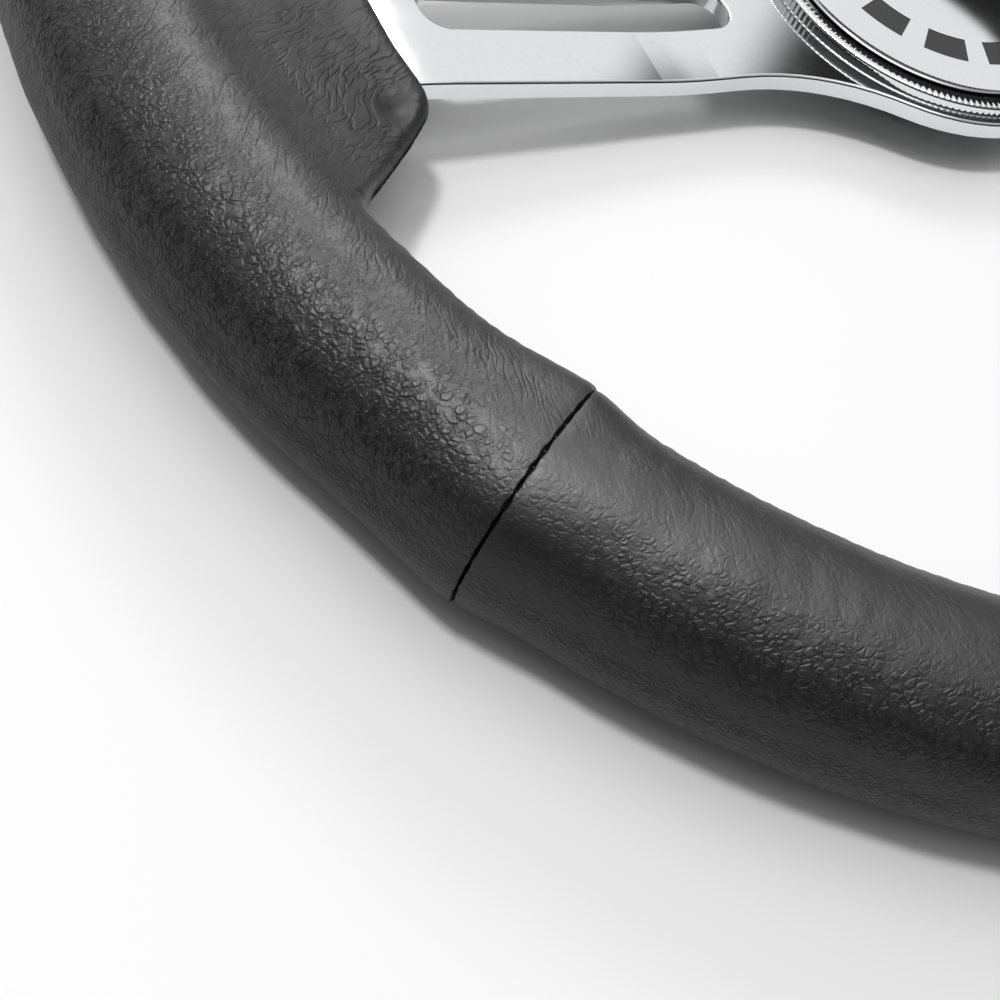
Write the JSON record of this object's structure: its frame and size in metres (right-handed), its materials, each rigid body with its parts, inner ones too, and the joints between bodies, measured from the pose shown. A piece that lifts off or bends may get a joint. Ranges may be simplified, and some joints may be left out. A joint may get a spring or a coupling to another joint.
{
  "type": "car steering wheel",
  "caption": "Round steering wheel with a stitched leather rim, thumb grips on slotted bright spokes and a sprung horn button; it bolts to a steering boss.",
  "frame": {"origin": "centre of the hub's back face, on the axis of the bolt circle", "axes": "+Z along the steering column towards the driver, +Y to twelve o'clock, +X to three o'clock"},
  "size_m": [0.38, 0.38, 0.035],
  "materials": {
    "leather": "grained, satin",
    "chrome_plate": "bright plated",
    "chrome_trim": "bright plated",
    "hoop_steel": "plain",
    "spring_steel": "zinc plated",
    "foam": "moulded",
    "black_plastic": "moulded",
    "black_enamel": "enamel",
    "brass": "plain"
  },
  "bodies": {
    "wheel": {"spoke_plate": "chrome_plate", "rim_hoop": "hoop_steel", "spoke_rivets": "hoop_steel", "rim_foam": "foam", "leather_top": "leather", "leather_right_grip": "leather", "leather_left_grip": "leather", "leather_bottom": "leather", "horn_body": "black_plastic", "snap_ring": "spring_steel", "horn_bezel": "chrome_trim", "horn_spring": "spring_steel", "retaining_studs": "spring_steel", "contact_ring": "brass", "terminal_blades": "brass", "contact_rivets": "brass"},
    "horn_button": {"horn_cap": "chrome_trim", "horn_inlays": "black_enamel", "horn_plunger": "black_plastic", "contact_disc": "brass", "centre_screw": "spring_steel"}
  },
  "joints": [
    {"name": "horn_press", "type": "slide", "parent": "wheel", "child": "horn_button", "axis": [0, 0, -1], "range_m": [0, 0.0015], "stiffness_N_per_m": 4000, "springref_m": -0.0015, "deforming": ["horn_spring"]}
  ]
}
